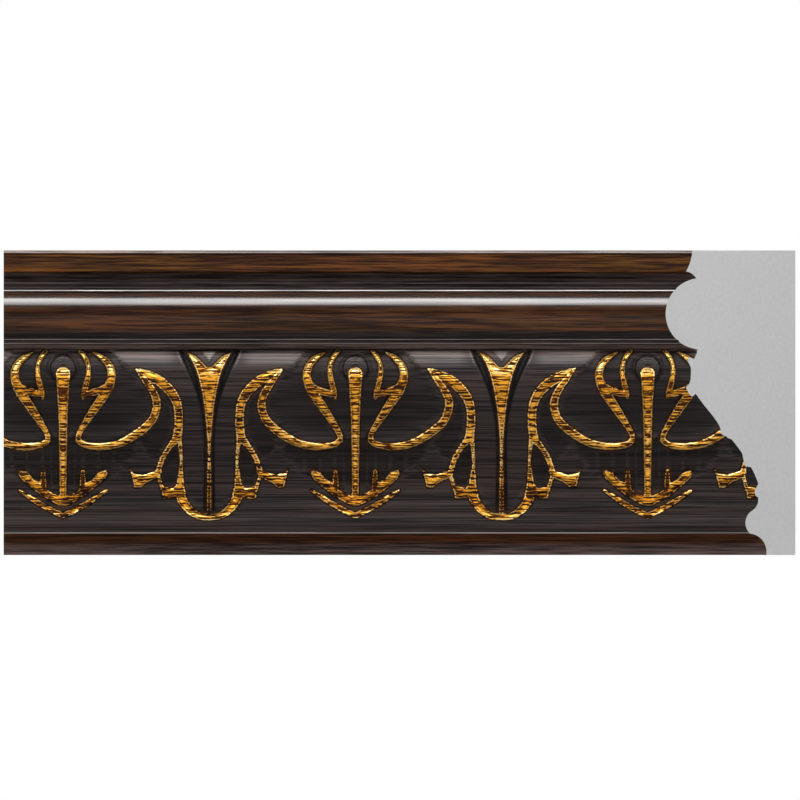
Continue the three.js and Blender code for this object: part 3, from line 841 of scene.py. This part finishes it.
def polished_rolls(finish, streaks, lines):
    """The rolls, the cornice and the foot: walnut lacquer with paler streaks, polished on the torus."""
    material, nodes, shader = new_material("polished_walnut_lacquer")
    fine = nodes.streaks(streaks, 70.0, 2400.0)
    broad = nodes.streaks(streaks, 16.0, 600.0)
    black, white = grey(0), grey(1)
    dark, walnut = colour(finish.ground, 0.5), colour(finish.walnut)

    # The lacquer's tone, its share of paler streaks and its polish, from the foot to the cornice
    # The tone is paler on the torus's underside next to the band, a painted sheen, and darker above the
    # lower quirk and at the upper quirk, a painted shade
    tone = tones_by_height(nodes, [
        (0.0, colour(finish.ground, 2.5)), (FOOT_QUIRK[1] - 4, colour(finish.ground, 2.3)),
        (FOOT_QUIRK[1] - 2.5, colour(finish.walnut, 1.6)), (FOOT_QUIRK[1], colour(finish.walnut, 1.5)),
        (BAND_TOP[1], colour(finish.ground, 4)), (BAND_TOP[1] + 1.4, colour(finish.ground, 3.4)),
        (BAND_TOP[1] + 1.8, colour(finish.ground, 1.8)), (LOWER_QUIRK - 0.4, colour(finish.ground, 1.2)),
        (LOWER_QUIRK, dark), (LOWER_QUIRK + 2.4, dark), (LOWER_QUIRK + 3.6, walnut),
        (UPPER_QUIRK - 10, walnut), (UPPER_QUIRK - 7, colour(finish.walnut, 0.7)),
        (UPPER_QUIRK - 0.7, walnut), (UPPER_QUIRK - 0.4, dark), (UPPER_QUIRK + 0.7, dark),
        (TORUS_TOP[1] - 1, colour(finish.ground, 0.8)), (TORUS_TOP[1], colour(finish.ground, 1.5)),
        (ARRIS[1] - 0.9, colour(finish.ground, 2.4)), (ARRIS[1] - 0.3, colour(finish.walnut, 2.2)),
        (ARRIS[1], colour(finish.walnut, 1.45)), (FACE_HEIGHT, colour(finish.walnut, 1.25)),
    ])
    streaky = tones_by_height(nodes, [
        (0.0, grey(0.1)), (FOOT_QUIRK[1], grey(0.4)), (BAND_TOP[1], black), (LOWER_QUIRK + 2, black),
        (LOWER_QUIRK + 4, grey(0.7)), (UPPER_QUIRK, black), (ARRIS[1] - 0.3, black), (ARRIS[1], white),
        (FACE_HEIGHT, white),
    ])
    polish = tones_by_height(nodes, [
        (0.0, black), (BAND_TOP[1], black), (BAND_TOP[1] + 5, grey(0.08)), (UPPER_QUIRK - 8, grey(0.15)),
        (UPPER_QUIRK - 4.9, grey(0.35)), (UPPER_QUIRK - 3.5, white), (UPPER_QUIRK - 0.7, white),
        (UPPER_QUIRK, grey(0.05)), (TORUS_TOP[1], black), (FACE_HEIGHT, black),
    ])
    polish = nodes.math("MULTIPLY", polish, nodes.ramp(broad, 0.1, 0.9, 0.75, 1.0))

    # Chestnut streaks, then olive clouds broken up by the fine streaks, most on the cornice
    pale = nodes.math("MULTIPLY", streaky, nodes.ramp(broad, 0.4, 1.0, 0.0, 0.55))
    lacquer = nodes.mix(pale, tone, colour(finish.chestnut))
    clouds = {"Vector": nodes.place(), "Scale": 24.0, "Detail": 3.0}
    cloud = nodes.ramp(nodes.put("ShaderNodeTexNoise", clouds).outputs["Fac"], 0.42, 0.66, 0.0, 0.5)
    cloudy = nodes.math("MULTIPLY", nodes.math("POWER", streaky, 2.0), cloud)
    lacquer = nodes.mix(nodes.math("MULTIPLY", cloudy, fine), lacquer, colour(finish.olive))
    shade = nodes.math("ADD", nodes.math("MULTIPLY", fine, 0.65), nodes.math("MULTIPLY", broad, 0.35))
    lacquer = nodes.tint(lacquer, nodes.ramp(shade, 0.1, 0.9, 0.4, 1.8))
    # Painted highlight lines along the arrises, each with a painted shadow line below it
    lacquer = painted_arris_lines(nodes, lacquer, ROLL_LINES, lines, fine)

    nodes.feed(shader.inputs["Base Color"], lacquer)
    nodes.feed(shader.inputs["Roughness"], nodes.ramp(fine, 0.0, 1.0, 0.52, 0.64))
    nodes.feed(shader.inputs["Specular IOR Level"], 0.04)
    nodes.feed(shader.inputs["Coat Weight"], polish)
    nodes.feed(shader.inputs["Coat Roughness"], 0.16)
    nodes.feed(shader.inputs["Coat IOR"], 1.9)
    brushed = nodes.math("MULTIPLY", fine, nodes.ramp(polish, 0.0, 0.5, 0.24, 0.0))
    nodes.feed(shader.inputs["Normal"], nodes.bump(brushed, 0.3, 0.0002))
    return material


def carved_band(finish, streaks, lines, gilding):
    """The carved band: near black streaked lacquer, gilded on the ridges of the carving."""
    material, nodes, shader = new_material("carved_lacquer_and_gilding")
    fine = nodes.streaks(streaks, 26.0, 2600.0)
    broad = nodes.streaks(streaks, 10.0, 700.0)
    ground = colour(finish.ground)
    # The lacquer's tone by height, with a painted sheen just under the torus
    lacquer = tones_by_height(nodes, [
        (0.0, colour(finish.ground, 0.85)), (CYMA_FOOT[1], colour(finish.ground, 0.7)),
        (CYMA_FOOT[1] + 4, colour(finish.ground, 0.85)), (CYMA_FOOT[1] + 10, colour(finish.ground, 0.8)),
        (OVOLO_CREST[1] - 12, colour(finish.ground, 0.75)), (BAND_TOP[1] - 4, ground),
        (BAND_TOP[1] - 1.5, colour(finish.ground, 3.4)), (FACE_HEIGHT, ground),
    ])
    shade = nodes.math("ADD", nodes.math("MULTIPLY", fine, 0.7), nodes.math("MULTIPLY", broad, 0.3))
    lacquer = nodes.tint(lacquer, nodes.ramp(shade, 0.1, 0.9, 0.2, 2.3))
    # A painted highlight line at the foot quirk, with a painted shadow line below it
    lacquer = painted_arris_lines(nodes, lacquer, BAND_LINES, lines, fine)
    # A painted sheen and painted highlights on the carving, from the mesh's attribute
    painted_highlight = nodes.math("MULTIPLY", nodes.attribute("painted_highlight"), nodes.ramp(fine, 0.0, 1.0, 0.5, 1.3))
    lacquer = nodes.mix(painted_highlight, lacquer, PAINTED_HIGHLIGHT_TONE)

    # Painted shade in the hollows, beside the ridges, in the groove and in the hood, with a brown wash where
    # the gold was wiped off
    edge = nodes.attribute("gold_edge")
    sunk = nodes.ramp(nodes.attribute("relief"), -0.15, -1.1)
    beside = nodes.math("MULTIPLY", nodes.ramp(edge, 0.7, 0.25), 0.95)
    painted_shade = nodes.math("MAXIMUM", nodes.math("MULTIPLY", sunk, 0.44), beside)
    painted_shade = nodes.math("MAXIMUM", painted_shade, nodes.attribute("painted_recess_shade"))
    lacquer = nodes.tint(lacquer, nodes.math("SUBTRACT", 1.0, painted_shade))
    wash = nodes.math("MULTIPLY", nodes.ramp(edge, 1.1, 0.1), nodes.ramp(fine, 0.35, 0.85, 0.0, 0.6))
    lacquer = nodes.mix(wash, lacquer, colour(finish.old_gold))

    # The gold, with a highlight painted by height: at the foot, half way up and under the torus
    gold_highlight = tones_by_height(nodes, [
        (0.0, grey(0.4)), (FIELD_FOOT + 3, grey(0.4)), (FIELD_FOOT + 5, grey(0)),
        (FIELD_FOOT + 10, grey(0.02)), (FIELD_FOOT + 14, grey(0.26)), (FIELD_FOOT + 18, grey(0.33)),
        (FIELD_FOOT + 30, grey(0.35)), (FIELD_FOOT + 37, grey(0.22)), (FIELD_FOOT + 42, grey(0.04)),
        (OVOLO_CREST[1], grey(0.04)), (OVOLO_CREST[1] + 3, grey(0.5)), (FACE_HEIGHT, grey(0.5)),
    ])
    inputs = {"Edge": edge, "Left": nodes.attribute("gold_left"), "Painted Highlight": gold_highlight}
    gilt = nodes.put("ShaderNodeGroup", inputs, node_tree=gilding)
    cover, tone = gilt.outputs["Cover"], gilt.outputs["Tone"]
    gold = nodes.mix(nodes.ramp(tone, 0.05, 0.4), colour(finish.old_gold), colour(finish.gold))
    gold = nodes.mix(nodes.ramp(tone, 0.35, 0.8), gold, colour(finish.rich_gold))
    gold = nodes.mix(nodes.ramp(tone, 0.84, 1.0), gold, colour(finish.highlight_gold))

    # Satin lacquer, duller where the shade is painted, and smoother gold
    satin = tones_by_height(nodes, [
        (0.0, grey(0.62)), (CYMA_FOOT[1], grey(0.62)), (CYMA_FOOT[1] + 12, grey(0.46)),
        (BAND_TOP[1], grey(0.36)), (FACE_HEIGHT, grey(0.36)),
    ])
    satin = nodes.math("ADD", satin, nodes.math("MULTIPLY", painted_shade, 0.2))
    smoother = nodes.math("SUBTRACT", nodes.ramp(tone, 0.2, 0.9, 0.46, 0.3), satin)
    roughness = nodes.math("MULTIPLY_ADD", cover, smoother, satin)
    nodes.feed(shader.inputs["Base Color"], nodes.mix(cover, lacquer, gold))
    nodes.feed(shader.inputs["Metallic"], nodes.math("MULTIPLY", cover, 0.75))
    nodes.feed(shader.inputs["Roughness"], roughness)
    nodes.feed(shader.inputs["Specular IOR Level"], 0.14)
    ripple = nodes.math("ADD", nodes.math("MULTIPLY", fine, 0.24), nodes.math("MULTIPLY", cover, tone))
    nodes.feed(shader.inputs["Normal"], nodes.bump(ripple, 0.3, 0.0002))
    return material


def bare_core(finish):
    """The pale grey core, with the fine grain of foamed plastic."""
    material, nodes, shader = new_material("bare_core")
    foam = {"Vector": nodes.place(), "Scale": 900.0, "Detail": 3.0}
    grain = nodes.put("ShaderNodeTexNoise", foam).outputs["Fac"]
    light = nodes.ramp(grain, 0.3, 0.7)
    speckled = nodes.mix(light, colour(finish.core, 0.93), colour(finish.core))
    nodes.feed(shader.inputs["Base Color"], speckled)
    nodes.feed(shader.inputs["Roughness"], 0.75)
    nodes.feed(shader.inputs["Normal"], nodes.bump(grain, 0.15, 0.0001))
    return material


class BuildMoulding(bpy.types.Operator):
    """Builds the moulding in one piece, with its carving, its lacquer and its gilding"""

    bl_idname = "moulding.build_body"
    bl_label = "Build Moulding"

    def execute(self, context):
        scene = context.scene
        mesh = moulding_mesh(scene.moulding_carving)
        piece = bpy.data.objects.new("carved_moulding", mesh)
        scene.collection.objects.link(piece)
        finish = scene.moulding_finish
        streaks = streak_group()
        lines = line_group()
        mesh.materials.append(carved_band(finish, streaks, lines, gilding_group(streaks)))
        mesh.materials.append(polished_rolls(finish, streaks, lines))
        mesh.materials.append(bare_core(finish))
        if not mesh.polygons:
            raise RuntimeError("the moulding has no faces")
        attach(piece, "root")
        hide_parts(NODE)
        return {"FINISHED"}


def pale_floor():
    """A pale matt floor that fades to white far from the piece, as a studio's backdrop does."""
    material, nodes, shader = new_material("pale_floor")
    nodes.feed(shader.inputs["Base Color"], grey(0.82))
    nodes.feed(shader.inputs["Roughness"], 0.8)
    away = nodes.put("ShaderNodeVectorMath", {0: nodes.place()}, operation="LENGTH").outputs["Value"]
    is_camera = nodes.put("ShaderNodeLightPath").outputs["Is Camera Ray"]
    faded = nodes.math("MULTIPLY", nodes.ramp(away, FADE_START, FADE_END), is_camera)
    backdrop = nodes.put("ShaderNodeEmission", {"Color": grey(1), "Strength": 1.0})
    both = nodes.put("ShaderNodeMixShader", {0: faded, 1: shader.outputs[0], 2: backdrop.outputs[0]})
    output = material.node_tree.get_output_node("ALL")
    nodes.feed(output.inputs["Surface"], both.outputs[0])
    return material


def area_light(name, place, target, size, power):
    """A soft rectangular light that looks at a place."""
    light = bpy.data.lights.new(name, "AREA")
    light.shape = "RECTANGLE"
    light.size, light.size_y = size
    light.energy = power
    lamp = bpy.data.objects.new(name, light)
    lamp.location = place
    lamp.rotation_euler = (Vector(target) - Vector(place)).to_track_quat("-Z", "Y").to_euler()
    bpy.context.scene.collection.objects.link(lamp)


class SetStudio(bpy.types.Operator):
    """Sets the pale floor, the soft lights and the straight-on camera"""

    bl_idname = "moulding.set_studio"
    bl_label = "Set Studio"

    def execute(self, context):
        scene = context.scene
        studio = scene.moulding_studio
        scene.view_settings.view_transform = "Standard"

        floor_mesh = bpy.data.meshes.new("floor")
        corners = [
            (along * FLOOR_REACH, out * FLOOR_REACH, BACK_LOW.z)
            for along, out in ((-1, -1), (1, -1), (1, 1), (-1, 1))
        ]
        floor_mesh.from_pydata(corners, [], [(0, 1, 2, 3)])
        floor = bpy.data.objects.new("floor", floor_mesh)
        scene.collection.objects.link(floor)
        floor_mesh.materials.append(pale_floor())

        above = (0, -STRIP_DISTANCE * math.cos(STRIP_ANGLE), STRIP_DISTANCE * math.sin(STRIP_ANGLE))
        area_light("strip", above, STRIP_TARGET, STRIP_SIZE, studio.strip_power)
        for place in (LEFT_PLACE, RIGHT_PLACE):
            area_light("side", place, MIDDLE, SIDE_SIZE, studio.side_power)
        area_light("behind", BEHIND_PLACE, MIDDLE, BEHIND_SIZE, studio.side_power)

        # White for the camera, dim for the light that falls on the piece
        world = bpy.data.worlds.new("studio")
        scene.world = world
        world.use_nodes = True
        world.node_tree.nodes.clear()
        nodes = Nodes(world.node_tree)
        seen = nodes.put("ShaderNodeBackground", {"Color": grey(1), "Strength": 1.0})
        around = nodes.put("ShaderNodeBackground", {"Color": grey(1), "Strength": studio.sky})
        is_camera = nodes.put("ShaderNodeLightPath").outputs["Is Camera Ray"]
        both = nodes.put("ShaderNodeMixShader", {0: is_camera, 1: around.outputs[0], 2: seen.outputs[0]})
        nodes.put("ShaderNodeOutputWorld", {"Surface": both.outputs[0]})

        view = bpy.data.cameras.new("camera")
        view.type = "ORTHO"
        view.ortho_scale = PICTURE_WIDTH * MM
        camera = bpy.data.objects.new("camera", view)
        camera.location = (PICTURE_CENTRE[0] * MM, -CAMERA_DISTANCE, PICTURE_CENTRE[1] * MM)
        camera.rotation_euler = (math.pi / 2, 0, 0)
        scene.collection.objects.link(camera)
        scene.camera = camera
        return {"FINISHED"}


class MouldingPanel(bpy.types.Panel):
    """Sizes, colours and lights of the moulding"""

    bl_idname = "VIEW3D_PT_moulding"
    bl_label = "Moulding"
    bl_space_type = "VIEW_3D"
    bl_region_type = "UI"
    bl_category = "Moulding"

    def draw(self, context):
        layout = self.layout
        for name in ("moulding_carving", "moulding_finish", "moulding_studio"):
            group = getattr(context.scene, name)
            for prop in group.bl_rna.properties:
                if prop.identifier not in ("rna_type", "name"):
                    layout.prop(group, prop.identifier)
        layout.operator(BuildMoulding.bl_idname)
        layout.operator(SetStudio.bl_idname)


CLASSES = (MouldingCarving, MouldingFinish, MouldingStudio, BuildMoulding, SetStudio, MouldingPanel)


def register():
    for cls in CLASSES:
        bpy.utils.register_class(cls)
    bpy.types.Scene.moulding_carving = PointerProperty(type=MouldingCarving)
    bpy.types.Scene.moulding_finish = PointerProperty(type=MouldingFinish)
    bpy.types.Scene.moulding_studio = PointerProperty(type=MouldingStudio)


def unregister():
    del bpy.types.Scene.moulding_studio
    del bpy.types.Scene.moulding_finish
    del bpy.types.Scene.moulding_carving
    for cls in reversed(CLASSES):
        bpy.utils.unregister_class(cls)


def main():
    register()
    bpy.ops.moulding.build_body()
    bpy.ops.moulding.set_studio()


if __name__ == "__main__":
    main()
